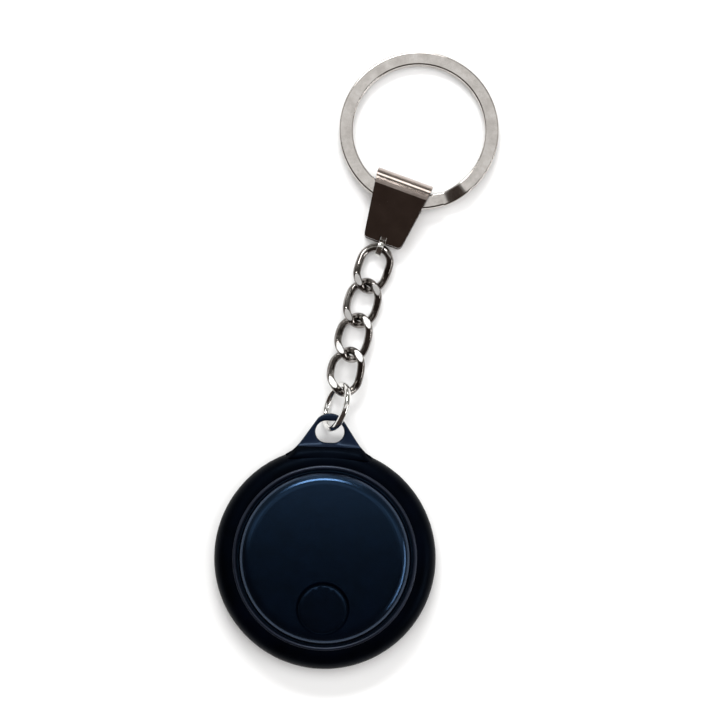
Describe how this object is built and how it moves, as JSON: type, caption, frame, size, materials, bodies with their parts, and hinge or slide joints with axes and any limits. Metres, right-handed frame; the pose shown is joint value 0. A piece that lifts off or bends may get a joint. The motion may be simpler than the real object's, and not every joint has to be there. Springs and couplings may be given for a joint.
{
  "type": "bluetooth tracker tag",
  "caption": "Round tracker tag with a press button, a twist-off battery door and a lug, on a curb chain with a folded clasp and a flat split key ring.",
  "frame": {"origin": "centre of the tag's flat back", "axes": "the back rests on the XY plane, +Z out of the front cover, +Y from the tag's middle through the lug toward the key ring"},
  "size_m": [0.0468, 0.1086, 0.0086],
  "materials": {
    "case_plastic": "smooth satin moulded, near black navy",
    "cover_plastic": "fine-grained matte, dark navy",
    "button_plastic": "fine-grained matte, dark navy",
    "rear_plastic": "satin moulded, near black navy",
    "seal_rubber": "soft matte",
    "switch_ceramic": "moulded, cream",
    "chip_black": "moulded epoxy, matte",
    "board_green": "solder mask, satin green",
    "contact_steel": "nickel-plated spring steel",
    "antenna_ceramic": "fired, pale grey",
    "ferrite": "ferrite, dark grey",
    "passive_ceramic": "tan ceramic",
    "tape": "foam tape, off-white",
    "brass": "bright rolled brass",
    "buzzer_white": "silvered ceramic, pale",
    "cell_steel": "nickel-plated steel",
    "chain_nickel": "polished nickel with filed facets",
    "clasp_nickel": "polished black nickel",
    "ring_nickel": "satin nickel, fine circular brushing"
  },
  "bodies": {
    "case": {"case_body": "case_plastic", "front_cover": "cover_plastic", "rear_cover": "rear_plastic", "switch_body": "switch_ceramic", "pcb": "board_green", "ble_chip": "chip_black", "crystal": "contact_steel", "chip_antenna": "antenna_ceramic", "boost_coil": "ferrite", "chip_passives": "passive_ceramic", "buzzer_adhesive": "tape", "buzzer_plate": "brass", "buzzer_ceramic": "buzzer_white", "buzzer_springs": "brass", "positive_contact": "contact_steel", "negative_contact": "contact_steel", "coin_cell": "cell_steel"},
    "button": {"button_cap": "button_plastic", "switch_plunger": "chip_black"},
    "door": {"battery_door": "rear_plastic", "door_seal": "seal_rubber"},
    "jump": {"jump_ring": "chain_nickel"},
    "link_4": {"chain_link_4": "chain_nickel"},
    "link_3": {"chain_link_3": "chain_nickel"},
    "link_2": {"chain_link_2": "chain_nickel"},
    "link_1": {"chain_link_1": "chain_nickel"},
    "clasp": {"clasp_loop": "chain_nickel", "clasp_pin": "contact_steel", "clasp_strap": "clasp_nickel"},
    "ring": {"key_ring": "ring_nickel"}
  },
  "joints": [
    {"name": "button_press", "type": "slide", "parent": "case", "child": "button", "axis": [0, 0, -1], "range_m": [0, 0.00025], "stiffness_N_per_m": 1200},
    {"name": "door_twist", "type": "hinge", "parent": "case", "child": "door", "pos_m": [0, 0, 0], "axis": [0, 0, -1], "range_deg": [0, 50]},
    {"name": "jump_swing", "type": "hinge", "parent": "case", "child": "jump", "pos_m": [0, 0.02445, 0.0042], "axis": [1, 0, 0], "range_deg": [-90, 40]},
    {"name": "link_4_lift", "type": "hinge", "parent": "jump", "child": "link_4", "pos_m": [0.00197, 0.03012, 0.0042], "axis": [0.9877, -0.1564, 0], "range_deg": [-5, 32]},
    {"name": "link_3_turn", "type": "hinge", "parent": "link_4", "child": "link_3", "pos_m": [0.00283, 0.03556, 0.00303], "axis": [0, 0, 1], "range_deg": [-18, 18]},
    {"name": "link_2_lift", "type": "hinge", "parent": "link_3", "child": "link_2", "pos_m": [0.00406, 0.04164, 0.00195], "axis": [0.9736, -0.2284, 0], "range_deg": [-25, 15]},
    {"name": "link_1_turn", "type": "hinge", "parent": "link_2", "child": "link_1", "pos_m": [0.0055, 0.04777, 0.00195], "axis": [0, 0, 1], "range_deg": [-20, 20]},
    {"name": "clasp_flap", "type": "hinge", "parent": "link_1", "child": "clasp", "pos_m": [0.00756, 0.05449, 0.00195], "axis": [0.9511, -0.309, 0], "range_deg": [-50, 40]},
    {"name": "ring_swing", "type": "hinge", "parent": "clasp", "child": "ring", "pos_m": [0.01034, 0.06305, 0.0024], "axis": [0.9511, -0.309, 0], "range_deg": [-8, 36]}
  ]
}
